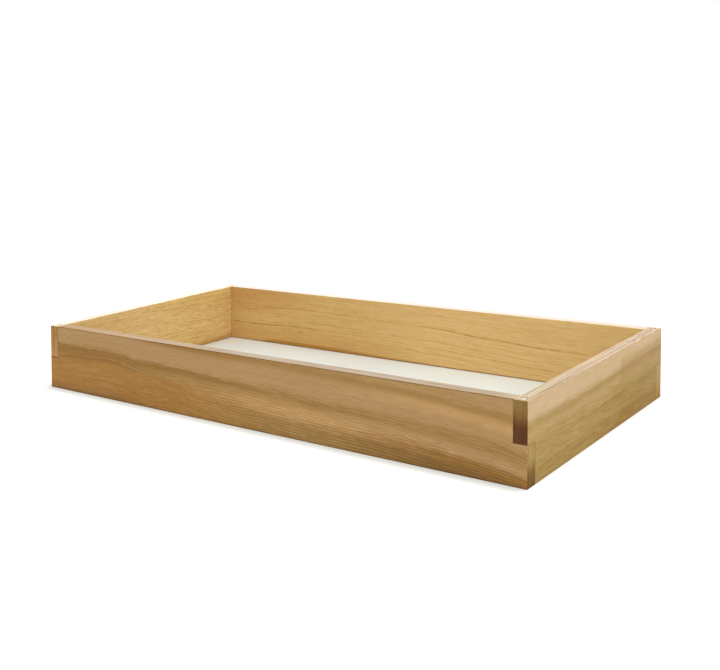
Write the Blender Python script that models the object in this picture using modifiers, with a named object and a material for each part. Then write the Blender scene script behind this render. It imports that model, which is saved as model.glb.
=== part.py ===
"""Type case: a shallow open tray that slides into a cabinet.

Four boards stand on edge. Each corner is halved: the end boards run through in the upper half,
the front and back boards run through in the lower half, and a steel pin goes down through both.
A thin white base lies in a rebate under the boards, held by countersunk screws from below.

The origin is at the centre of the underside. +X runs along the case, -Y is the front, +Z is up.
"""

import math

import bmesh
import bpy

# Driving dimensions, in metres.
LENGTH = 0.820
DEPTH = 0.400
HEIGHT = 0.0965
BOARD = 0.0175
BASE = 0.002

# Joinery, worked out from the driving dimensions.
GAP = 0.0003
SHY = GAP / 2
LAP_HEIGHT = HEIGHT / 2
REBATE = 0.0082
ARRIS = 0.0012
ARRIS_SEGMENTS = 3
HALF_LENGTH = LENGTH / 2
HALF_DEPTH = DEPTH / 2
INNER_X = HALF_LENGTH - BOARD
INNER_Y = HALF_DEPTH - BOARD

# Corner pins: plain steel rod, a little below the rim.
PIN_RADIUS = 0.003
PIN_CHAMFER = 0.0006
PIN_SINK = 0.0006
PIN_FOOT = 0.012
PIN_SEGMENTS = 24
HOLE_MOUTH = 0.0010

# Base screws: countersunk, driven up into the rebate.
SCREW_LENGTH = 0.016
SCREW_RADIUS = 0.0014
SCREW_HEAD_RADIUS = 0.0024
SCREW_HEAD_EDGE = 0.0002
SCREW_HEAD_CONE = SCREW_HEAD_RADIUS - SCREW_RADIUS
SCREW_TAPER = 0.0045
SCREW_TIP_RADIUS = 0.0003
SCREW_SINK = 0.0002
SCREW_SLOT_WIDTH = 0.0007
SCREW_SLOT_LENGTH = 0.0028
SCREW_SLOT_DEPTH = 0.0007
SCREW_STEPS = 20
SCREWS_ALONG_FRONT = 6
SCREWS_ALONG_END = 3
SCREW_LINE_X = INNER_X + REBATE / 2
SCREW_LINE_Y = INNER_Y + REBATE / 2
PITCH_X = 2 * INNER_X / SCREWS_ALONG_FRONT
PITCH_Y = 2 * INNER_Y / SCREWS_ALONG_END

# How far a cutter runs past the face that it cuts.
PAST = 0.005

MERGE = 0.00005

# Materials: colour, roughness, metallic. Each board was sawn from a different plank.
FINISHES = {
    "front_wood": ((0.37, 0.21, 0.085), 0.60, 0.0),
    "back_wood": ((0.61, 0.40, 0.15), 0.60, 0.0),
    "left_wood": ((0.65, 0.43, 0.17), 0.60, 0.0),
    "right_wood": ((0.43, 0.28, 0.12), 0.58, 0.0),
    "white_base": ((0.75, 0.76, 0.74), 0.40, 0.0),
    "pin_steel": ((0.89, 0.87, 0.82), 0.32, 1.0),
    "screw_steel": ((0.51, 0.50, 0.47), 0.36, 1.0),
}


def clear_scene():
    for obj in list(bpy.data.objects):
        bpy.data.objects.remove(obj, do_unlink=True)


def new_collection(name):
    collection = bpy.data.collections.new(name)
    bpy.context.scene.collection.children.link(collection)
    return collection


def new_material(name):
    colour, roughness, metallic = FINISHES[name]
    material = bpy.data.materials.new(name)
    material.use_nodes = True
    shader = material.node_tree.nodes["Principled BSDF"]
    shader.inputs["Base Color"].default_value = (*colour, 1.0)
    shader.inputs["Roughness"].default_value = roughness
    shader.inputs["Metallic"].default_value = metallic
    return material


def new_object(name, mesh, collection, location=(0, 0, 0), rotation=(0, 0, 0)):
    obj = bpy.data.objects.new(name, mesh)
    obj.location = location
    obj.rotation_euler = rotation
    collection.objects.link(obj)
    return obj


def mesh_from(name, bm):
    mesh = bpy.data.meshes.new(name)
    bm.to_mesh(mesh)
    bm.free()
    return mesh


def as_helper(obj):
    """A cutter or a guide: it shapes other objects and is no part itself."""
    obj.hide_render = True
    obj.display_type = "WIRE"
    return obj


def box(name, low, high, collection):
    """A box between two corners, with its object at its centre."""
    size = [high[k] - low[k] for k in range(3)]
    centre = [(high[k] + low[k]) / 2 for k in range(3)]
    bm = bmesh.new()
    bmesh.ops.create_cube(bm, size=1.0)
    bmesh.ops.scale(bm, vec=size, verts=bm.verts)
    return new_object(name, mesh_from(name, bm), collection, centre)


def boolean(obj, other, operation):
    modifier = obj.modifiers.new(f"{operation.lower()} {other.name}", "BOOLEAN")
    modifier.operation = operation
    modifier.object = other


def turned(name, profile, collection, steps):
    """A solid turned about Z. The profile runs down its outer side, from the axis back to the axis."""
    bm = bmesh.new()
    verts = [bm.verts.new((radius, 0.0, height)) for radius, height in profile]
    for upper, lower in zip(verts, verts[1:]):
        bm.edges.new((upper, lower))
    obj = new_object(name, mesh_from(name, bm), collection)
    spin = obj.modifiers.new("turn", "SCREW")
    spin.steps = steps
    spin.render_steps = steps
    spin.use_merge_vertices = True
    spin.merge_threshold = MERGE
    spin.use_smooth_shade = False
    return obj


def evaluated_mesh(obj, name):
    """The mesh that an object's modifiers make, as a mesh of its own."""
    graph = bpy.context.evaluated_depsgraph_get()
    mesh = bpy.data.meshes.new_from_object(obj.evaluated_get(graph))
    mesh.name = name
    return mesh


def eased_frame(collection):
    """The outline of the finished case, with its outside edges and its rim eased by sanding."""
    bm = bmesh.new()
    bmesh.ops.create_cube(bm, size=1.0)
    bmesh.ops.scale(bm, vec=(LENGTH, DEPTH, HEIGHT), verts=bm.verts)
    bmesh.ops.translate(bm, vec=(0, 0, LAP_HEIGHT), verts=bm.verts)
    ends = [face for face in bm.faces if abs(face.normal.z) > 0.5]
    bmesh.ops.inset_individual(bm, faces=ends, thickness=BOARD, use_even_offset=True)
    mouth = [edge for face in ends for edge in face.edges]
    bmesh.ops.delete(bm, geom=ends, context="FACES_ONLY")
    bmesh.ops.bridge_loops(bm, edges=mouth)
    bmesh.ops.recalc_face_normals(bm, faces=bm.faces)
    bmesh.ops.bevel(
        bm,
        geom=[edge for edge in bm.edges if is_eased(edge)],
        offset=ARRIS,
        segments=ARRIS_SEGMENTS,
        profile=0.5,
        affect="EDGES",
    )
    return as_helper(new_object("eased_frame", mesh_from("eased_frame", bm), collection))


def is_eased(edge):
    """The outer corners, the outer edges, and the rim's inner edges, but not the rim's mitres."""
    a, b = (vert.co for vert in edge.verts)
    outer = [abs(point.x) > INNER_X + PAST or abs(point.y) > INNER_Y + PAST for point in (a, b)]
    if outer[0] != outer[1]:
        return False
    if outer[0]:
        return True
    return min(a.z, b.z) > LAP_HEIGHT


def corner_centres():
    x, y = (HALF_LENGTH + INNER_X) / 2, (HALF_DEPTH + INNER_Y) / 2
    return {
        "front_left": (-x, -y),
        "front_right": (x, -y),
        "back_left": (-x, y),
        "back_right": (x, y),
    }


def screw_places():
    """Every base screw: its name and where it enters the underside."""
    places = {}
    for row, y in (("front", -SCREW_LINE_Y), ("back", SCREW_LINE_Y)):
        for k in range(SCREWS_ALONG_FRONT):
            x = (k - (SCREWS_ALONG_FRONT - 1) / 2) * PITCH_X
            places[f"base_screw_{row}_{k + 1}"] = (x, y)
    for row, x in (("left", -SCREW_LINE_X), ("right", SCREW_LINE_X)):
        for k in range(SCREWS_ALONG_END):
            y = (k - (SCREWS_ALONG_END - 1) / 2) * PITCH_Y
            places[f"base_screw_{row}_{k + 1}"] = (x, y)
    return places


def drilled_from(name, cutter, places, height, collection):
    """One helper that holds a copy of the cutter at every place."""
    shape = evaluated_mesh(cutter, name)
    bm = bmesh.new()
    for x, y in places:
        copy = bmesh.new()
        copy.from_mesh(shape)
        bmesh.ops.translate(copy, vec=(x, y, height), verts=copy.verts)
        part = mesh_from("copy", copy)
        bm.from_mesh(part)
        bpy.data.meshes.remove(part)
    bpy.data.meshes.remove(shape)
    return as_helper(new_object(name, mesh_from(name, bm), collection))


def corner_holes(cutters, bores):
    """The bores for the corner pins, opened a little at the rim."""
    bore = PIN_RADIUS + GAP
    depth = HEIGHT - PIN_FOOT + GAP
    profile = [
        (0, PAST),
        (bore + HOLE_MOUTH, PAST),
        (bore + HOLE_MOUTH, 0),
        (bore, -HOLE_MOUTH),
        (bore, -depth),
        (0, -depth),
    ]
    cutter = as_helper(turned("corner_hole", profile, cutters, PIN_SEGMENTS))
    return drilled_from("corner_holes", cutter, corner_centres().values(), HEIGHT, bores)


def screw_holes(cutters, bores):
    """Clearance holes for the screws, with their countersinks, up through the base and into the boards."""
    shank = SCREW_RADIUS + GAP
    head = SCREW_HEAD_RADIUS + GAP
    straight = SCREW_SINK + SCREW_HEAD_EDGE + GAP
    top = SCREW_SINK + SCREW_LENGTH + GAP
    profile = [
        (0, top),
        (shank, top),
        (shank, straight + head - shank),
        (head, straight),
        (head, -PAST),
        (0, -PAST),
    ]
    cutter = as_helper(turned("screw_hole", profile, cutters, SCREW_STEPS))
    return drilled_from("screw_holes", cutter, screw_places().values(), 0, bores)


def corner_pin_mesh(collection):
    profile = [
        (0, HEIGHT - PIN_SINK),
        (PIN_RADIUS - PIN_CHAMFER, HEIGHT - PIN_SINK),
        (PIN_RADIUS, HEIGHT - PIN_SINK - PIN_CHAMFER),
        (PIN_RADIUS, PIN_FOOT + PIN_CHAMFER),
        (PIN_RADIUS - PIN_CHAMFER, PIN_FOOT),
        (0, PIN_FOOT),
    ]
    return evaluated_mesh(as_helper(turned("pin_blank", profile, collection, PIN_SEGMENTS)), "corner_pin")


def screw_mesh(collection):
    """A countersunk screw, head up, with a cross slot. Its origin is at the centre of the head's face."""
    profile = [
        (0, 0),
        (SCREW_HEAD_RADIUS, 0),
        (SCREW_HEAD_RADIUS, -SCREW_HEAD_EDGE),
        (SCREW_RADIUS, -SCREW_HEAD_EDGE - SCREW_HEAD_CONE),
        (SCREW_RADIUS, -SCREW_LENGTH + SCREW_TAPER),
        (SCREW_TIP_RADIUS, -SCREW_LENGTH),
        (0, -SCREW_LENGTH),
    ]
    blank = as_helper(turned("screw_blank", profile, collection, SCREW_STEPS))
    for name, along, across in (
        ("slot_along", SCREW_SLOT_LENGTH, SCREW_SLOT_WIDTH),
        ("slot_across", SCREW_SLOT_WIDTH, SCREW_SLOT_LENGTH),
    ):
        low = (-along / 2, -across / 2, -SCREW_SLOT_DEPTH)
        high = (along / 2, across / 2, PAST)
        boolean(blank, as_helper(box(name, low, high, collection)), "DIFFERENCE")
    return evaluated_mesh(blank, "base_screw")


def board_along(axis, side, lap_low, lap_high, name, parts, cutters):
    """A board's share of the case: all of its length between the corners, and its half of each corner."""
    half = (HALF_LENGTH, HALF_DEPTH)
    inner = (INNER_X, INNER_Y)
    across = 1 - axis

    def span(reach, near, far, low, high):
        first, last = [0, 0, low], [0, 0, high]
        first[axis], last[axis] = -reach, reach
        first[across], last[across] = sorted((side * near, side * far))
        return first, last

    body = span(inner[axis] - SHY, inner[across] - PAST, half[across] + PAST, -PAST, HEIGHT + PAST)
    fingers = span(half[axis] + PAST, inner[across] + SHY, half[across] + 2 * PAST, lap_low, lap_high)
    board = box(name, *body, parts)
    boolean(board, as_helper(box(f"{name}_fingers", *fingers, cutters)), "UNION")
    return board


def make_boards(parts, cutters, bores):
    """The four boards on edge, halved at their ends, rebated below, drilled, then eased."""
    frame = eased_frame(cutters)
    rebate_low = (-INNER_X - REBATE, -INNER_Y - REBATE, -PAST)
    rebate_high = (INNER_X + REBATE, INNER_Y + REBATE, BASE + GAP)
    as_helper(box("base_rebate", rebate_low, rebate_high, bores))
    corner_holes(cutters, bores)
    screws = screw_holes(cutters, bores)
    lower = (-2 * PAST, LAP_HEIGHT - SHY)
    upper = (LAP_HEIGHT + SHY, HEIGHT + 2 * PAST)
    boards = {
        "front_board": ("front_wood", 0, -1, *lower),
        "back_board": ("back_wood", 0, 1, *lower),
        "left_end_board": ("left_wood", 1, -1, *upper),
        "right_end_board": ("right_wood", 1, 1, *upper),
    }
    for name, (wood, *place) in boards.items():
        board = board_along(*place, name, parts, cutters)
        board.data.materials.append(new_material(wood))
        cut = board.modifiers.new("bores", "BOOLEAN")
        cut.operand_type = "COLLECTION"
        cut.collection = bores
        boolean(board, frame, "INTERSECT")
    return screws


def make_base(parts, screws):
    reach_x = INNER_X + REBATE - GAP
    reach_y = INNER_Y + REBATE - GAP
    base = box("base_panel", (-reach_x, -reach_y, 0), (reach_x, reach_y, BASE), parts)
    base.data.materials.append(new_material("white_base"))
    boolean(base, screws, "DIFFERENCE")


def make_fasteners(parts, cutters):
    pin = corner_pin_mesh(cutters)
    pin.materials.append(new_material("pin_steel"))
    for corner, (x, y) in corner_centres().items():
        new_object(f"corner_pin_{corner}", pin, parts, (x, y, 0))
    screw = screw_mesh(cutters)
    screw.materials.append(new_material("screw_steel"))
    for name, (x, y) in screw_places().items():
        new_object(name, screw, parts, (x, y, SCREW_SINK), (math.pi, 0, 0))


def main():
    clear_scene()
    parts = new_collection("type_case")
    cutters = new_collection("cutters")
    bores = new_collection("bores")
    screws = make_boards(parts, cutters, bores)
    make_base(parts, screws)
    make_fasteners(parts, cutters)


main()
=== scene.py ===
"""The looks of the type case: solid wood boards, a white base, steel pins, a pale studio.

Each board's wood is described in the board's own millimetres: along it, up from its foot, and
inward from its outer face. The colours in a description are 8-bit screen values, as the lit wood
shows them, and stained() turns them into the wood's own colours.
"""

import math

import bpy
from mathutils import Matrix, Vector


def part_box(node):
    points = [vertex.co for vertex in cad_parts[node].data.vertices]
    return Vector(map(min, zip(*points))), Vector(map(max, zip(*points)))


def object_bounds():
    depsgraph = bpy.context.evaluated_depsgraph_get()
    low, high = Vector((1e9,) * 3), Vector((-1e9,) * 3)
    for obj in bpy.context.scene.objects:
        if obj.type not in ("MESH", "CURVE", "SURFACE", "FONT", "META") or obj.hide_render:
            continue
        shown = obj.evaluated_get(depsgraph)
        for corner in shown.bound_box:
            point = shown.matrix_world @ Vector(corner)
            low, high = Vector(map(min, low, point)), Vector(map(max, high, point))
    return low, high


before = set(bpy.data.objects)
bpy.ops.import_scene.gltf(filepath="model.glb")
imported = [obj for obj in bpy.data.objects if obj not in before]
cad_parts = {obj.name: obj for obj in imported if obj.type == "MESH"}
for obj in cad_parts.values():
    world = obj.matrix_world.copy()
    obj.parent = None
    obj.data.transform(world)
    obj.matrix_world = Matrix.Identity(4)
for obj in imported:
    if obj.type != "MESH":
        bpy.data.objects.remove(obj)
CAD_LOW, CAD_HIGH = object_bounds()

# The case, measured from the frame, in millimetres.
MM = 0.001
HEIGHT = (CAD_HIGH.z - CAD_LOW.z) / MM
LENGTH = (CAD_HIGH.x - CAD_LOW.x) / MM
DEPTH = (CAD_HIGH.y - CAD_LOW.y) / MM
BOARD = (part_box("front_board")[1].y - CAD_LOW.y) / MM
BASE_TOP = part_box("base_panel")[1].z / MM
LAP = HEIGHT / 2

# Gloss of the wood. The end grain scatters more, so less white lies over its colour.
SPECULAR = 0.25
END_GLOSS = 0.014

# Darker wood is also warmer: powers for red, green and blue.
WARMTH = (0.75, 1.08, 1.85)

# Noises in the wood: cells per metre along the grain, across it and inward; a start of its own
# for each; octaves; and how strong the finer octaves are.
NOISES = {
    "sway": (9, 22, 30, 0.0, 2, 0.5),
    "waver": (45, 130, 130, 7.0, 3, 0.5),
    "wobble": (16, 50, 50, 11.0, 2, 0.5),
    "patchy": (14, 60, 60, 2.0, 2, 0.5),
    "broken": (60, 300, 300, 4.0, 3, 0.5),
    "fleck": (75, 560, 560, 6.0, 2, 0.5),
    "pore": (260, 2600, 2600, 8.0, 1, 0.5),
    "patch": (7, 26, 26, 9.0, 2, 0.5),
    "end_rings": (1, 24, 420, 12.0, 4, 0.6),
    "grit": (1, 900, 900, 13.0, 2, 0.5),
    "rim_lines": (6, 1, 560, 14.0, 3, 0.65),
    "polish": (18, 40, 40, 15.0, 4, 0.5),
    "scuff": (90, 260, 260, 16.0, 3, 0.6),
    "rim_marks": (55, 1, 330, 17.0, 2, 0.5),
}

# How deep the shared features of the wood go.
WAVER = 0.7
RING_WOBBLE = 1.6
CREST_MEAN = 3 / 8
PORE_DEPTH = 0.16
SCUFF_DEPTH = 0.35
RIM_COVER = 0.85
# How much of the colour the painted highlight on the rim's inner arris covers.
INNER_ARRIS_HIGHLIGHT = 0.75
# How dark the painted contact shade is where the inner faces meet the base.
PAINTED_CONTACT_SHADE = 0.5
LINE_WAVER = 0.6
LINE_FEATHER = 0.5
END_STREAKS = (0.70, 1.22)
END_GRIT = (0.88, 1.12)
END_RING_WAVE = 3.0
END_RING_WIDTH = 3.0

# A noise starts elsewhere on each axis: shares of its own start, across the grain and inward.
START_ACROSS = 1.7
START_INWARD = 0.6

# Dust and painted shade on the base: how far they reach from the boards, in metres, and their depth,
# left to right.
DUST_AND_SHADE_REACH = 0.03
DUST_AND_SHADE_DEPTH = (0.14, 0.02)

RIM_LINE_TINT = (150, 108, 76)
RIM_MARK_TINT = (158, 118, 88)
RELIEF_DISTANCE = 0.18 * MM

# The camera, in metres and degrees. The picture leans a little, so its upright axis is skewed.
CAMERA_PLACE = (0.8917, -1.1479, 0.4101)
CAMERA_PITCH = -2.888
CAMERA_TURN = 36.605
LENS = 50.0
SENSOR = 36.0
SHIFT = -0.240
SKEW = -0.0356

# The studio: a big soft key from the front right, an even white sky, a pale floor.
KEY_FROM = (0.45, -0.6, 1.0)
KEY_STRENGTH = 1.2
KEY_SPREAD = 60
SKY_STRENGTH = 1.0
FLOOR_SIZE = 200
FLOOR_GLOW = 0.56
FLOOR_COLOUR = (0.5, 0.5, 0.5, 1)
# The floor's colour and glow where the case touches it: a painted contact shade.
FLOOR_COLOUR_TOUCHED = (0.33, 0.33, 0.31, 1)
GLOW_COLOUR = (1, 1, 1, 1)
GLOW_COLOUR_TOUCHED = (0.58, 0.58, 0.55, 1)
CONTACT_REACH = 0.018
CONTACT_SIDE = (0.85, 0.45, 0.25)
CONTACT_RANGE = (0.56, 0.98)


def linear(value):
    """One 8-bit screen value as the linear value that shaders work in."""
    c = value / 255
    return c / 12.92 if c <= 0.04045 else ((c + 0.055) / 1.055) ** 2.4


def srgb(red, green, blue):
    return (linear(red), linear(green), linear(blue), 1.0)


class Tree:
    """Adds nodes to one material, a line at a time."""

    def __init__(self, name):
        self.material = bpy.data.materials.new(name)
        self.material.use_nodes = True
        self.nodes = self.material.node_tree.nodes
        self.links = self.material.node_tree.links
        self.shader = self.nodes["Principled BSDF"]

    def plug(self, value, socket):
        if isinstance(value, bpy.types.NodeSocket):
            self.links.new(value, socket)
        else:
            socket.default_value = value

    def shade_with(self, **values):
        """Plugs values into the shader: base_color goes into Base Color, and so on."""
        for name, value in values.items():
            self.plug(value, self.shader.inputs[SHADER_SOCKETS[name]])

    def math(self, operation, *values):
        node = self.nodes.new("ShaderNodeMath")
        node.operation = operation
        for value, socket in zip(values, node.inputs):
            self.plug(value, socket)
        return node.outputs[0]

    def add(self, *values):
        total = values[0]
        for value in values[1:]:
            total = self.math("ADD", total, value)
        return total

    def subtract(self, a, b):
        return self.math("SUBTRACT", a, b)

    def multiply(self, *values):
        total = values[0]
        for value in values[1:]:
            total = self.math("MULTIPLY", total, value)
        return total

    def smallest(self, *values):
        total = values[0]
        for value in values[1:]:
            total = self.math("MINIMUM", total, value)
        return total

    def distance(self, a, b):
        return self.math("SQRT", self.add(self.multiply(a, a), self.multiply(b, b)))

    def split(self, vector):
        node = self.nodes.new("ShaderNodeSeparateXYZ")
        self.plug(vector, node.inputs[0])
        return node.outputs

    def join(self, x, y, z):
        node = self.nodes.new("ShaderNodeCombineXYZ")
        for value, socket in zip((x, y, z), node.inputs):
            self.plug(value, socket)
        return node.outputs[0]

    def scaled(self, x, y, z, cells_x, cells_y, cells_z):
        """Coordinates in metres as coordinates in noise cells."""
        return self.join(self.multiply(x, cells_x), self.multiply(y, cells_y), self.multiply(z, cells_z))

    def noise(self, vector, detail=3.0, roughness=0.5):
        node = self.nodes.new("ShaderNodeTexNoise")
        self.plug(vector, node.inputs["Vector"])
        node.inputs["Scale"].default_value = 1.0
        node.inputs["Detail"].default_value = detail
        node.inputs["Roughness"].default_value = roughness
        return node.outputs["Fac"]

    def centred(self, noise, size):
        """A noise as a push of up to about size either way."""
        return self.math("MULTIPLY_ADD", noise, 2 * size, -size)

    def remap(self, value, from_low, from_high, to_low=0.0, to_high=1.0, smooth=False):
        node = self.nodes.new("ShaderNodeMapRange")
        node.interpolation_type = "SMOOTHSTEP" if smooth else "LINEAR"
        for number, socket in zip((value, from_low, from_high, to_low, to_high), node.inputs):
            self.plug(number, socket)
        return node.outputs[0]

    def rise(self, value, start, end, low=0.0, high=1.0):
        """A smooth step from low to high, between two places."""
        return self.remap(value, start, end, low, high, smooth=True)

    def fade(self, value, start, end, depth=1.0):
        """A smooth fall from depth to nothing, between two places."""
        return self.remap(value, start, end, depth, 0.0, smooth=True)

    def curve(self, value, points):
        """A smooth curve through given (input, output) points, both in their own units."""
        node = self.nodes.new("ShaderNodeFloatCurve")
        first, last = points[0][0], points[-1][0]
        low = min(y for x, y in points)
        high = max(y for x, y in points)
        spots = [((x - first) / (last - first), (y - low) / (high - low)) for x, y in points]
        line = node.mapping.curves[0]
        line.points[0].location = spots[0]
        line.points[1].location = spots[-1]
        for spot in spots[1:-1]:
            line.points.new(*spot)
        node.mapping.update()
        self.plug(self.remap(value, first, last), node.inputs["Value"])
        return self.remap(node.outputs[0], 0.0, 1.0, low, high)

    def ramp(self, value, stops, interpolation="EASE"):
        """Colours along value, from (place, colour) stops in value's own units."""
        node = self.nodes.new("ShaderNodeValToRGB")
        node.color_ramp.interpolation = interpolation
        elements = node.color_ramp.elements
        first, last = stops[0][0], stops[-1][0]
        elements[0].color = stops[0][1]
        elements[1].color = stops[-1][1]
        for place, colour in stops[1:-1]:
            elements.new((place - first) / (last - first)).color = colour
        self.plug(self.remap(value, first, last), node.inputs[0])
        return node.outputs[0]

    def mix(self, factor, a, b, blend="MIX"):
        node = self.nodes.new("ShaderNodeMix")
        node.data_type = "RGBA"
        node.blend_type = blend
        node.clamp_factor = True
        self.plug(factor, node.inputs["Factor"])
        self.plug(a, node.inputs[6])
        self.plug(b, node.inputs[7])
        return node.outputs[2]

    def bump(self, height, strength, distance):
        node = self.nodes.new("ShaderNodeBump")
        node.inputs["Strength"].default_value = strength
        node.inputs["Distance"].default_value = distance
        self.plug(height, node.inputs["Height"])
        return node.outputs["Normal"]

    def coordinates(self, output):
        return self.nodes.new("ShaderNodeTexCoord").outputs[output]


SHADER_SOCKETS = {
    "colour": "Base Color",
    "roughness": "Roughness",
    "metallic": "Metallic",
    "specular": "Specular IOR Level",
    "normal": "Normal",
    "glow_colour": "Emission Color",
    "glow": "Emission Strength",
}


def stained(light, gloss):
    """Turns a colour as it looks on the lit board into the wood's own colour."""

    def stain(red, green, blue):
        seen = (linear(red), linear(green), linear(blue))
        own = [max(value - gloss, 0.003) / shine for value, shine in zip(seen, light)]
        return (*own, 1.0)

    return stain


class Wood(Tree):
    """Solid wood for one board: rings through the whole of it, fibres, pores, end grain, wear."""

    def __init__(self, name, spec):
        super().__init__(name)
        self.spec = spec
        self.stain = stained(spec["light"], spec["gloss"])
        self.place_board()
        self.height = self.grain_height()
        self.waver = self.centred(self.cloud("waver"), WAVER)
        self.grain = self.height
        self.strand = self.fibres()
        self.shade = self.add(self.multiply(self.strand, self.curve(self.height, spec["fibre"])), 1.0)
        self.colour = self.banded()
        self.rings = self.yearly_rings()
        self.broken = self.remap(self.cloud("broken"), 0.35, 0.6, 0.35, 1.0)
        self.dark_lines()
        self.fleck = self.multiply(
            self.rise(self.cloud("fleck"), 0.60, 0.72), self.curve(self.along, spec["flecks"])
        )
        self.pore = self.rise(self.cloud("pore"), 0.66, 0.76)
        self.darken(self.fleck)
        self.darken(self.multiply(self.pore, PORE_DEPTH))
        self.slow_patches()
        self.grit = self.cloud("grit")
        self.end_grain()
        self.bare_rim()
        self.worn_and_shaded_edges()
        self.seams()
        self.inner_foot()
        self.finish()

    def place_board(self):
        """The board's own millimetres, and which way the surface faces."""
        x, y, z = self.split(self.coordinates("Object"))
        facing_x, facing_y, facing_up = self.split(self.coordinates("Normal"))
        if self.spec["runs"] == "x":
            self.length, run, side, face = LENGTH, x, y, DEPTH / 2
            self.end_facing = facing_x
            self.finger_side = -1.0
        else:
            self.length, run, side, face = DEPTH, y, x, LENGTH / 2
            self.end_facing = facing_y
            self.finger_side = 1.0
        self.along = self.math("MULTIPLY_ADD", run, 1 / MM, self.length / 2)
        self.up = self.multiply(z, 1 / MM)
        self.inward = self.math("MULTIPLY_ADD", side, -self.spec["outer"] / MM, face)
        self.from_top = self.subtract(HEIGHT, self.up)
        self.from_end = self.smallest(self.along, self.subtract(self.length, self.along))
        self.outside = self.fade(self.inward, 0.2, 2.0)
        self.is_end = self.rise(self.math("ABSOLUTE", self.end_facing), 0.6, 0.8)
        not_end = self.subtract(1.0, self.is_end)
        self.is_rim = self.multiply(self.rise(facing_up, 0.75, 0.95), not_end)
        self.grain = self.up

    def stretched(self, along, across, inward, shift):
        """Coordinates for a noise: cells per metre along the grain, across it and inward."""
        start = self.spec["offset"] + shift
        return self.join(
            self.math("MULTIPLY_ADD", self.along, along * MM, start),
            self.math("MULTIPLY_ADD", self.grain, across * MM, start * START_ACROSS),
            self.math("MULTIPLY_ADD", self.inward, inward * MM, start * START_INWARD),
        )

    def cloud(self, name):
        along, across, inward, shift, detail, roughness = NOISES[name]
        return self.noise(self.stretched(along, across, inward, shift), detail, roughness)

    def darken(self, amount):
        self.shade = self.multiply(self.shade, self.subtract(1.0, amount))

    def grain_height(self):
        """Where a point lies among the rings: its height, as they drift, lean, sway and swell."""
        spec = self.spec
        drawn_on = BOARD if spec["shows"] == "inner" else 0.0
        lean = self.multiply(self.subtract(self.inward, drawn_on), spec["lean"])
        drift = self.multiply(self.curve(self.along, spec["drift"]), -1.0)
        sway = self.centred(self.cloud("sway"), spec["sway"])
        height = self.add(self.up, drift, lean, sway)
        for where, above, size, push in spec["knots"]:
            away = self.multiply(self.subtract(self.along, where), 1 / size)
            rise = self.multiply(self.subtract(self.up, above), 1 / size)
            spread = self.add(self.math("POWER", away, 2.0), self.math("POWER", rise, 2.0))
            swell = self.math("EXPONENT", self.multiply(spread, -1.0))
            side = self.rise(self.up, above - size / 2, above + size / 2, -push, push)
            height = self.add(height, self.multiply(swell, side))
        return height

    def fibres(self):
        """Long streaks, finer fibres and single threads, all running with the grain."""
        layers = []
        for count, (along, across, weight) in enumerate(self.spec["layers"]):
            layer = self.noise(self.stretched(along, across, across, 1.0 + 2.0 * count), 3, 0.6)
            layers.append(self.remap(layer, 0.3, 0.7, -weight, weight))
        return self.add(*layers)

    def banded(self):
        """Bands of the board's tones that follow the rings, and change from place to place along it."""
        tones = self.spec["tones"]
        ring = self.add(self.height, self.waver, self.multiply(self.strand, self.spec["feather"]))
        colour = None
        before = 0.0
        for place, stops in self.spec["bands"]:
            here = self.ramp(ring, [(spot, self.stain(*tones[tone])) for spot, tone in stops])
            if colour is None:
                colour = here
            else:
                colour = self.mix(self.rise(self.along, before, place), colour, here)
            before = place
        return colour

    def yearly_rings(self):
        """Fine dark rings a few millimetres apart, where the board shows them."""
        spec = self.spec
        turn = self.multiply(self.height, 2 * math.pi / spec["ring_gap"])
        wobble = self.centred(self.cloud("wobble"), RING_WOBBLE)
        wave = self.math("SINE", self.add(turn, wobble))
        crest = self.math("POWER", self.remap(wave, -1.0, 1.0), 2.0)
        seen = self.multiply(
            self.curve(self.along, spec["rings_along"]),
            self.curve(self.height, spec["rings_up"]),
            self.remap(self.cloud("patchy"), 0.35, 0.6, 0.4, 1.0),
        )
        lighter = self.multiply(self.subtract(CREST_MEAN, crest), seen, spec["ring_depth"])
        self.shade = self.multiply(self.shade, self.add(lighter, 1.0))
        return self.multiply(crest, seen)

    def dark_lines(self):
        """Growth lines, placed one by one: where each lies among the rings, and its reach along."""
        waver = self.multiply(self.waver, LINE_WAVER)
        ring = self.add(self.height, waver, self.multiply(self.strand, LINE_FEATHER))
        for place, width, depth, reach in self.spec["lines"]:
            off = self.math("ABSOLUTE", self.subtract(ring, place))
            line = self.multiply(self.fade(off, 0.0, width), self.curve(self.along, reach))
            self.darken(self.multiply(line, self.broken, depth))

    def slow_patches(self):
        """Slow patches of deeper and paler colour."""
        size = self.spec["patches"]
        patch = self.remap(self.cloud("patch"), 0.3, 0.7, 1 - size, 1 + size)
        self.shade = self.multiply(self.shade, patch)

    def end_grain(self):
        """The ends of the fingers: darker, with the rings across them."""
        spec = self.spec
        stain = stained(spec["light"], END_GLOSS)
        slant = spec["end_slant"]
        end_up = self.add(self.up, self.math("MULTIPLY_ADD", self.inward, -slant, BOARD / 2 * slant))
        near = self.ramp(end_up, [(h, stain(*tint)) for h, tint in spec["near_end"]], "LINEAR")
        far = self.ramp(end_up, [(h, stain(*tint)) for h, tint in spec["far_end"]], "LINEAR")
        colour = self.mix(self.math("GREATER_THAN", self.end_facing, 0.0), near, far)
        streaks = self.cloud("end_rings")
        shade = self.multiply(
            self.remap(streaks, 0.3, 0.7, *END_STREAKS),
            self.remap(self.grit, 0.2, 0.8, *END_GRIT),
        )
        place, depth = spec["end_ring"]
        wavy = self.add(self.inward, self.multiply(streaks, END_RING_WAVE))
        off = self.math("ABSOLUTE", self.subtract(wavy, place))
        shade = self.multiply(shade, self.subtract(1.0, self.fade(off, 0.0, END_RING_WIDTH, depth)))
        not_end = self.subtract(1.0, self.is_end)
        self.colour = self.mix(self.is_end, self.colour, colour)
        self.shade = self.add(self.multiply(self.shade, not_end), self.multiply(shade, self.is_end))

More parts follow.
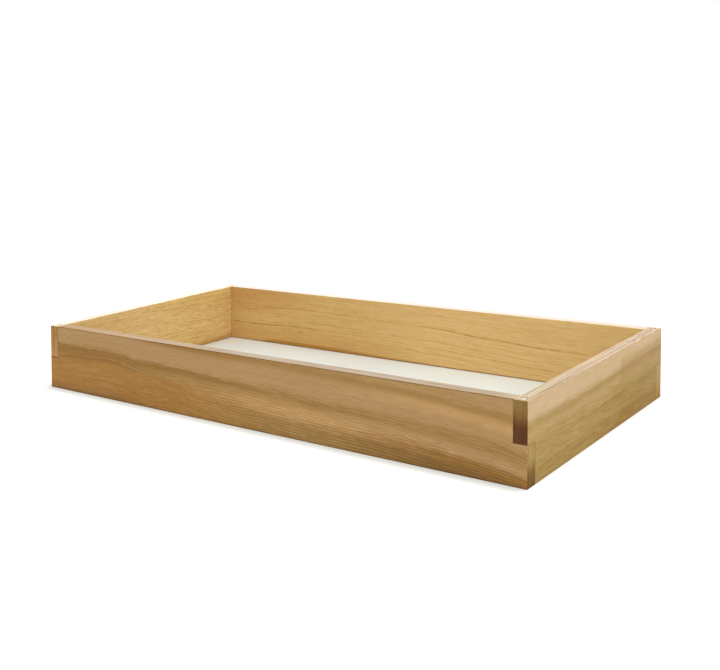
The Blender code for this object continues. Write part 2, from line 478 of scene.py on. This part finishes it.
    def bare_rim(self):
        """The rim: planed bare wood under a painted sheen; open grain lines, brown marks, a painted
        highlight on the inner arris.
        """
        spec = self.spec
        # The rim colours are the wood's own with a painted sheen over them, nearly white on the far
        # boards.
        rim = self.ramp(self.along, [(w, self.stain(*tint)) for w, tint in spec["rim"]], "LINEAR")
        lines = self.remap(self.cloud("rim_lines"), 0.5, 0.62, 0.0, spec["rim_lines"])
        rim = self.mix(lines, rim, self.stain(*RIM_LINE_TINT))
        marks = self.remap(self.cloud("rim_marks"), 0.6, 0.68)
        marked = self.multiply(marks, self.curve(self.along, spec["rim_marks"]))
        rim = self.mix(marked, rim, self.stain(*RIM_MARK_TINT))
        # A painted highlight along the inner arris of the rim.
        inner_arris_highlight = self.fade(self.subtract(BOARD, self.inward), 0.3, 2.2, INNER_ARRIS_HIGHLIGHT)
        rim = self.mix(inner_arris_highlight, rim, self.stain(*spec["rim_inner_highlight"]))
        self.colour = self.mix(self.multiply(self.is_rim, RIM_COVER), self.colour, rim)

    def worn_and_shaded_edges(self):
        """The outer edges: dark under the rim, a painted shade at the foot, and paler scuffs."""
        spec = self.spec
        # Darker along the top outer arris, under the rim.
        to_arris = self.distance(self.from_top, self.inward)
        darker_top_arris = self.fade(to_arris, 0.5, 1.6, spec["arris"])
        self.darken(self.multiply(darker_top_arris, self.subtract(1.0, self.is_rim)))
        # Painted shade along the foot of the outer faces, where they meet the floor.
        self.darken(self.multiply(self.fade(self.up, 0.8, 4.0, spec["painted_foot_shade"]), self.outside))
        to_edge = self.smallest(self.from_top, self.up, self.from_end)
        at_edge = self.multiply(self.fade(to_edge, 0.4, 2.2), self.outside)
        scuff = self.multiply(self.rise(self.cloud("scuff"), 0.5, 0.68), at_edge, SCUFF_DEPTH)
        self.shade = self.multiply(self.shade, self.add(scuff, 1.0))

    def seams(self):
        """Glue and dirt in the seams of the halved corners, with a painted shadow of their gaps, and
        little of it inside the case.
        """
        past_notch = self.math("MAXIMUM", self.subtract(self.from_end, BOARD), 0.0)
        to_lap = self.multiply(self.subtract(self.up, LAP), self.finger_side)
        past_lap = self.math("MAXIMUM", to_lap, 0.0)
        at_seam = self.fade(self.distance(past_notch, past_lap), 0.3, 1.5)
        seam_dirt_and_shade = self.remap(self.along, 0.0, self.length, *self.spec["seam"])
        outdoors = self.remap(self.inward, BOARD - 2.0, BOARD - 0.5, 1.0, 0.15)
        # Darkens the seams: glue and dirt, and a painted shadow where the gaps are too thin to cast one.
        self.darken(self.multiply(at_seam, seam_dirt_and_shade, self.broken, outdoors))

    def inner_foot(self):
        """The foot of the inner face: darker, warmer colour low down, and a painted contact shade just
        over the base.
        """
        spec = self.spec
        inside = self.rise(self.inward, BOARD - 1.0, BOARD - 0.3)
        # Darker, warmer colour low on the inner face, up to a line that varies along the board.
        over_line = self.subtract(self.up, self.curve(self.along, spec["foot"]))
        foot = self.multiply(self.fade(over_line, -1.5, 1.5), inside, spec["foot_depth"])
        self.colour = self.mix(foot, self.colour, self.stain(*spec["foot_tint"]))
        # A painted contact shade: a thin dark line where the inner face meets the base.
        painted_contact_shade = self.fade(self.up, BASE_TOP + 0.6, BASE_TOP + 2.0, PAINTED_CONTACT_SHADE)
        self.darken(self.multiply(painted_contact_shade, inside))

    def finish(self):
        """The shader: warm shade over the colour, worn roughness, fine relief."""
        warm = self.nodes.new("ShaderNodeCombineColor")
        for power, socket in zip(WARMTH, warm.inputs):
            self.plug(self.math("POWER", self.shade, power), socket)
        roughness = self.add(
            self.remap(self.cloud("polish"), 0.3, 0.7, 0.54, 0.68),
            self.multiply(self.pore, 0.12),
            self.multiply(self.is_end, 0.15),
        )
        relief = self.add(
            self.multiply(self.strand, 0.5),
            self.multiply(self.pore, -0.8),
            self.multiply(self.rings, -0.5),
            self.multiply(self.fleck, -0.8),
            self.multiply(self.is_end, self.grit, 0.8),
        )
        self.shade_with(
            colour=self.mix(1.0, self.colour, warm.outputs[0], "MULTIPLY"),
            roughness=roughness,
            specular=SPECULAR,
            normal=self.bump(relief, self.spec["relief"], RELIEF_DISTANCE),
        )


# The boards. runs and outer say which way a board runs and which side of the case its outer face is
# on; shows says which of its faces the picture shows, and heights are meant on that face.
# light and gloss are how the shown face is lit: its shine on each colour, and the white over it.
# lean, sway, drift and knots bend the rings: millimetres of height per millimetre inward, a slow
# wander, a rise along the board, and swellings of (along, up, size, push).
# tones: the board's few colours. bands: places along it, each with (ring height, tone) stops.
# lines: (ring height, width, depth, reach along the board). layers: fibre noises of (along,
# across, weight), whose depth over the ring height is fibre. seam, flecks, rim_marks and foot
# run along the board.
FRONT = dict(
    runs="x",
    outer=-1,
    offset=3.1,
    relief=0.5,
    shows="outer",
    light=(1.24, 1.22, 1.20),
    gloss=0.026,
    lean=0.8,
    sway=3.0,
    knots=[],
    drift=[(0, 12), (80, 13), (150, 15), (200, 8), (310, 4), (510, -3), (710, -13), (820, -26)],
    tones=dict(
        umber=(135, 100, 60),
        brown=(150, 110, 60),
        tan=(165, 120, 65),
        dun=(160, 125, 75),
        straw=(175, 140, 95),
        cream=(190, 150, 100),
    ),
    bands=[
        (150, [(-20, "umber"), (5, "tan"), (33, "tan"), (42, "brown"), (53, "brown"), (64, "straw")]),
        (240, [(-20, "umber"), (5, "tan"), (33, "tan"), (48, "dun"), (56, "brown"), (64, "straw"),
               (82, "straw"), (91, "brown"), (115, "brown")]),
        (500, [(-20, "umber"), (8, "dun"), (20, "dun"), (36, "cream"), (56, "dun"), (66, "straw"),
               (84, "straw"), (92, "dun"), (110, "straw")]),
        (760, [(22, "umber"), (32, "brown"), (43, "straw"), (58, "dun"), (70, "straw"), (86, "cream"),
               (95, "dun"), (102, "straw")]),
    ],
    layers=[(9, 190, 0.32), (26, 430, 0.50), (60, 900, 0.75)],
    fibre=[(-20, 0.26), (40, 0.24), (58, 0.22), (66, 0.12), (84, 0.12), (110, 0.15)],
    feather=2.2,
    seam=(0.7, 0.2),
    ring_gap=3.6,
    ring_depth=0.42,
    rings_along=[(0, 0.0), (240, 0.1), (300, 0.7), (500, 1.0), (820, 1.0)],
    rings_up=[(-20, 1.0), (10, 1.0), (34, 1.0), (46, 0.3), (56, 0.5), (64, 0.1), (120, 0.05)],
    lines=[
        (44.0, 1.8, -0.36, [(0, 0.6), (20, 1.0), (170, 1.0), (240, 0.3), (820, 0.0)]),
        (40.8, 1.6, 0.20, [(0, 0.6), (20, 1.0), (170, 0.8), (240, 0.2), (820, 0.0)]),
        (47.5, 1.6, 0.20, [(0, 0.6), (20, 1.0), (170, 0.8), (240, 0.2), (820, 0.0)]),
        (53.0, 1.6, 0.24, [(0, 1.0), (90, 0.9), (260, 0.5), (440, 0.2), (820, 0.1)]),
        (25.5, 1.5, -0.08, [(0, 0.2), (80, 1.0), (200, 0.4), (420, 0.1), (820, 0.0)]),
        (53.5, 2.0, 0.10, [(0, 0.0), (300, 0.1), (440, 1.0), (570, 1.0), (700, 0.2), (820, 0.0)]),
    ],
    flecks=[(0, 0.08), (400, 0.12), (820, 0.14)],
    patches=0.03,
    near_end=[(0, (160, 120, 75)), (50, (175, 140, 95)), (97, (190, 155, 110))],
    far_end=[(0, (110, 80, 30)), (16, (135, 100, 45)), (30, (175, 145, 85))],
    end_slant=0.35,
    end_ring=(2.0, 0.3),
    rim=[(0, (215, 175, 130)), (400, (215, 195, 170)), (780, (210, 190, 165)), (805, (230, 210, 180))],
    rim_inner_highlight=(230, 215, 190),
    rim_marks=[(0, 0.0), (410, 0.1), (820, 0.3)],
    rim_lines=0.4,
    arris=0.58,
    painted_foot_shade=0.26,
    foot=[(0, 0), (410, 0), (820, 1)],
    foot_depth=0.0,
    foot_tint=(150, 110, 60),
)

BACK = dict(
    runs="x",
    outer=1,
    offset=17.7,
    relief=0.4,
    shows="inner",
    light=(0.99, 0.95, 0.92),
    gloss=0.012,
    lean=1.1,
    sway=1.6,
    knots=[(245, 28, 7, 3.0)],
    drift=[(0, 0), (80, 0), (170, 3), (320, 1), (480, -3), (520, -7), (820, -18)],
    tones=dict(
        amber=(185, 140, 80),
        honey=(195, 150, 90),
        gold=(200, 160, 100),
        light=(210, 170, 110),
    ),
    bands=[
        (100, [(-20, "amber"), (12, "honey"), (45, "gold"), (62, "honey"), (110, "amber")]),
        (260, [(-20, "amber"), (12, "honey"), (45, "gold")]),
        (500, [(-20, "gold"), (12, "light")]),
    ],
    layers=[(9, 170, 0.32), (30, 420, 0.36), (70, 850, 0.50)],
    fibre=[(-20, 0.17), (50, 0.17), (110, 0.15)],
    feather=1.5,
    seam=(0.4, 0.2),
    ring_gap=5.2,
    ring_depth=0.05,
    rings_along=[(0, 0.4), (400, 1.0), (820, 1.0)],
    rings_up=[(-20, 1.0), (60, 1.0), (120, 0.6)],
    lines=[
        (65.0, 2.0, 0.40, [(0, 0.0), (60, 0.2), (160, 0.6), (300, 0.5), (440, 0.6), (480, 1.0),
                           (600, 1.0), (760, 0.6), (820, 0.4)]),
        (44.0, 1.6, 0.22, [(0, 0.0), (190, 0.1), (240, 1.0), (500, 0.7), (700, 0.8), (820, 0.3)]),
        (33.5, 1.8, 0.42, [(0, 0.3), (60, 1.0), (215, 1.0), (240, 0.2), (400, 0.4), (600, 0.6),
                           (820, 0.3)]),
        (24.0, 1.5, 0.20, [(0, 0.0), (330, 0.2), (420, 1.0), (640, 0.8), (820, 0.2)]),
    ],
    flecks=[(0, 0.34), (200, 0.32), (260, 0.16), (820, 0.14)],
    patches=0.02,
    near_end=[(0, (165, 125, 70)), (50, (180, 150, 95)), (97, (190, 160, 110))],
    far_end=[(0, (150, 110, 55)), (20, (165, 135, 80)), (97, (180, 150, 100))],
    end_slant=0.2,
    end_ring=(9.0, 0.2),
    rim=[(0, (245, 235, 230)), (500, (240, 230, 220)), (820, (230, 215, 195))],
    rim_inner_highlight=(245, 240, 225),
    rim_marks=[(0, 0.0), (410, 0.1), (820, 0.2)],
    rim_lines=0.2,
    arris=0.1,
    painted_foot_shade=0.15,
    foot=[(0, 2.5), (70, 3), (105, 6.5), (150, 9), (210, 9), (300, 7), (440, 4), (820, 3.5)],
    foot_depth=0.75,
    foot_tint=(156, 104, 44),
)

RIGHT = dict(
    runs="y",
    outer=1,
    offset=29.3,
    relief=0.5,
    shows="outer",
    light=(1.17, 1.16, 1.14),
    gloss=0.048,
    lean=0.9,
    sway=1.5,
    knots=[],
    drift=[(0, 0), (100, -0.5), (200, -1), (260, 0), (400, 1)],
    tones=dict(
        honey=(160, 125, 70),
        wheat=(170, 140, 85),
        oat=(180, 150, 95),
        sand=(190, 160, 110),
        dun=(175, 140, 95),
        pale=(210, 180, 140),
    ),
    bands=[
        (130, [(14, "wheat"), (28, "oat"), (46, "oat"), (59, "sand"), (67, "oat"), (79, "pale")]),
        (249, [(-5, "honey"), (28, "wheat"), (42, "wheat"), (52, "oat"), (60, "sand"), (69, "oat"),
               (79, "pale")]),
        (262, [(14, "honey"), (28, "wheat"), (46, "wheat"), (55, "oat"), (62, "oat"), (70, "dun"),
               (77, "sand"), (91, "pale")]),
    ],
    layers=[(9, 190, 0.40), (26, 430, 0.50), (60, 850, 1.00)],
    fibre=[(-20, 0.22), (45, 0.18), (70, 0.08), (110, 0.055)],
    feather=0.9,
    seam=(0.2, 0.2),
    ring_gap=4.2,
    ring_depth=0.14,
    rings_along=[(0, 1.0), (200, 0.6), (400, 1.0)],
    rings_up=[(-20, 1.0), (30, 0.8), (60, 0.4), (80, 0.1), (120, 0.1)],
    lines=[
        (41.0, 2.2, 0.26, [(0, 0.0), (100, 0.2), (130, 1.0), (260, 0.9), (300, 0.5), (400, 0.8)]),
        (69.5, 2.6, 0.13, [(0, 0.0), (80, 0.3), (140, 1.0), (240, 1.0), (256, 0.0), (400, 0.0)]),
        (74.0, 3.0, 0.09, [(0, 0.0), (252, 0.0), (262, 1.0), (380, 1.0), (400, 0.6)]),
    ],
    flecks=[(0, 0.04), (200, 0.08), (400, 0.08)],
    patches=0.02,
    near_end=[(0, (90, 60, 15)), (66, (95, 60, 15)), (84, (135, 105, 60))],
    far_end=[(0, (150, 112, 60)), (50, (165, 130, 80)), (97, (185, 150, 100))],
    end_slant=0.0,
    end_ring=(9.0, 0.0),
    rim=[(0, (225, 210, 175)), (200, (235, 210, 180))],
    rim_inner_highlight=(250, 240, 210),
    rim_marks=[(0, 0.1), (220, 0.2), (280, 0.8), (400, 0.9)],
    rim_lines=0.75,
    arris=0.12,
    painted_foot_shade=0.08,
    foot=[(0, 3), (200, 4), (400, 3)],
    foot_depth=0.5,
    foot_tint=(150, 110, 60),
)

LEFT = dict(
    runs="y",
    outer=-1,
    offset=43.9,
    relief=0.2,
    shows="inner",
    light=(0.94, 0.90, 0.86),
    gloss=0.010,
    lean=1.0,
    sway=2.0,
    knots=[(300, 31, 8, 2.5)],
    drift=[(0, 0), (130, 2), (250, 0), (330, -3), (400, -4)],
    tones=dict(
        amber=(185, 140, 80),
        honey=(205, 165, 100),
        gold=(210, 170, 110),
    ),
    bands=[
        (150, [(-10, "honey"), (20, "gold")]),
        (280, [(-10, "amber"), (15, "honey"), (60, "gold"), (84, "honey")]),
        (370, [(-10, "honey"), (12, "gold"), (60, "gold"), (84, "honey")]),
    ],
    layers=[(8, 170, 0.40), (24, 430, 0.40), (60, 900, 0.95)],
    fibre=[(-20, 0.23), (50, 0.24), (110, 0.23)],
    feather=1.5,
    seam=(0.6, 0.3),
    ring_gap=5.0,
    ring_depth=0.07,
    rings_along=[(0, 1.0), (200, 0.6), (400, 1.0)],
    rings_up=[(-20, 1.0), (60, 0.8), (120, 0.6)],
    lines=[(80.0, 1.8, 0.22, [(0, 0.2), (200, 0.6), (400, 1.0)])],
    flecks=[(0, 0.22), (200, 0.28), (400, 0.36)],
    patches=0.03,
    near_end=[(0, (140, 100, 55)), (50, (165, 125, 80)), (80, (145, 110, 65))],
    far_end=[(0, (150, 112, 60)), (50, (165, 130, 80)), (97, (185, 150, 100))],
    end_slant=-0.2,
    end_ring=(10.0, 0.2),
    rim=[(0, (240, 230, 210)), (400, (245, 230, 215))],
    rim_inner_highlight=(245, 235, 220),
    rim_marks=[(0, 0.0), (200, 0.1), (400, 0.2)],
    rim_lines=0.25,
    arris=0.15,
    painted_foot_shade=0.15,
    foot=[(0, 8), (200, 7), (330, 9), (400, 10)],
    foot_depth=0.6,
    foot_tint=(172, 128, 66),
)


def make_base():
    """Satin white panel, with dust and painted shade towards its edges, and painted light that is paler
    and greener to the right.
    """
    tree = Tree("white_base")
    x, y, z = tree.split(tree.coordinates("Object"))
    half_length = LENGTH / 2 * MM
    half_depth = DEPTH / 2 * MM
    wall = BOARD * MM
    cloud = tree.remap(tree.noise(tree.scaled(x, y, z, 6, 6, 1), 4), 0.3, 0.7)
    speck = tree.noise(tree.scaled(x, y, z, 900, 900, 1), 2)
    to_end = tree.subtract(half_length - wall, tree.math("ABSOLUTE", x))
    to_side = tree.subtract(half_depth - wall, tree.math("ABSOLUTE", y))
    near_wall = tree.remap(tree.smallest(to_end, to_side), 0.0, DUST_AND_SHADE_REACH, 1.0, 0.0)
    dust_and_shade_depth = tree.remap(x, -half_length, half_length, *DUST_AND_SHADE_DEPTH)
    # Dust and painted shade near the walls, deeper on the left.
    dust_and_shade = tree.multiply(near_wall, tree.remap(cloud, 0.0, 1.0, 0.4, 1.0), dust_and_shade_depth)
    # Painted light: a greenish tint of reflected light, paler towards the right, with random cloudy
    # patches.
    paler_by_light_and_cloud = tree.add(tree.remap(x, -half_length, half_length, 0.0, 0.6), tree.multiply(cloud, 0.4))
    white = tree.mix(paler_by_light_and_cloud, srgb(216, 221, 217), srgb(228, 236, 232))
    tree.shade_with(
        colour=tree.mix(dust_and_shade, white, srgb(205, 196, 175)),
        roughness=tree.remap(cloud, 0.0, 1.0, 0.34, 0.46),
        normal=tree.bump(speck, 0.15, 0.05 * MM),
    )
    return tree.material


def make_steel(name, colour, roughness):
    """Bright steel, drawn lengthwise, lightly scratched and stained in spots."""
    tree = Tree(name)
    x, y, z = tree.split(tree.coordinates("Object"))
    drawn = tree.noise(tree.scaled(x, y, z, 2500, 2500, 300), 3)
    spots = tree.noise(tree.scaled(x, y, z, 500, 500, 500), 3)
    tree.shade_with(
        colour=tree.mix(tree.remap(spots, 0.45, 0.7, 0.0, 0.3), colour, srgb(150, 138, 122)),
        metallic=1.0,
        roughness=tree.remap(drawn, 0.3, 0.7, roughness - 0.08, roughness + 0.1),
        normal=tree.bump(drawn, 0.2, 0.03 * MM),
    )
    return tree.material


def dress(node, material):
    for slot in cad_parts[node].material_slots:
        slot.material = material


def dress_all():
    for node, spec in (
        ("front_board", FRONT),
        ("back_board", BACK),
        ("left_end_board", LEFT),
        ("right_end_board", RIGHT),
    ):
        dress(node, Wood(f"{node}_wood", spec).material)
    dress("base_panel", make_base())
    pin_steel = make_steel("pin_steel", srgb(252, 249, 242), 0.32)
    screw_steel = make_steel("screw_steel", srgb(190, 188, 182), 0.36)
    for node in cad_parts:
        if node.startswith("corner_pin"):
            dress(node, pin_steel)
        elif node.startswith("base_screw"):
            dress(node, screw_steel)


def make_camera():
    """Nearly level, so that uprights stay upright, with the picture's own slight skew."""
    data = bpy.data.cameras.new("camera")
    data.sensor_width = SENSOR
    data.lens = LENS
    data.shift_y = SHIFT
    tripod = bpy.data.objects.new("tripod", None)
    tripod.location = CAMERA_PLACE
    tripod.rotation_euler = (math.radians(90 + CAMERA_PITCH), 0, math.radians(CAMERA_TURN))
    camera = bpy.data.objects.new("camera", data)
    camera.parent = tripod
    skew = Matrix.Identity(4)
    skew[1][0] = SKEW
    camera.matrix_parent_inverse = skew
    for obj in (tripod, camera):
        bpy.context.collection.objects.link(obj)
    bpy.context.scene.camera = camera


def make_sky():
    world = bpy.data.worlds.new("studio")
    bpy.context.scene.world = world
    world.use_nodes = True
    sky = world.node_tree.nodes["Background"]
    sky.inputs["Color"].default_value = (1, 1, 1, 1)
    sky.inputs["Strength"].default_value = SKY_STRENGTH


def make_key():
    """A very wide sun: as even as a large softbox."""
    data = bpy.data.lights.new("key", "SUN")
    data.energy = KEY_STRENGTH
    data.angle = math.radians(KEY_SPREAD)
    lamp = bpy.data.objects.new("key", data)
    lamp.rotation_euler = Vector(KEY_FROM).to_track_quat("Z", "Y").to_euler()
    bpy.context.collection.objects.link(lamp)


def make_floor():
    """A white floor that glows a little, with a soft painted shade where the case stands on it."""
    bpy.ops.mesh.primitive_plane_add(size=FLOOR_SIZE)
    floor = bpy.context.object
    floor.name = "floor"
    tree = Tree("floor")
    # Painted shade: an occlusion node, leaning towards CONTACT_SIDE so the shade falls along the front
    # and hardly on the right, darkens the floor's colour and glow.
    near = tree.nodes.new("ShaderNodeAmbientOcclusion")
    near.samples = 8
    near.inputs["Distance"].default_value = CONTACT_REACH
    tree.plug(tree.join(*CONTACT_SIDE), near.inputs["Normal"])
    clear = tree.remap(near.outputs["AO"], *CONTACT_RANGE)
    tree.shade_with(
        colour=tree.mix(clear, FLOOR_COLOUR_TOUCHED, FLOOR_COLOUR),
        roughness=0.9,
        glow_colour=tree.mix(clear, GLOW_COLOUR_TOUCHED, GLOW_COLOUR),
        glow=FLOOR_GLOW,
    )
    floor.data.materials.append(tree.material)


make_sky()
make_key()
make_floor()
make_camera()
dress_all()
bpy.context.scene.view_settings.view_transform = "Standard"
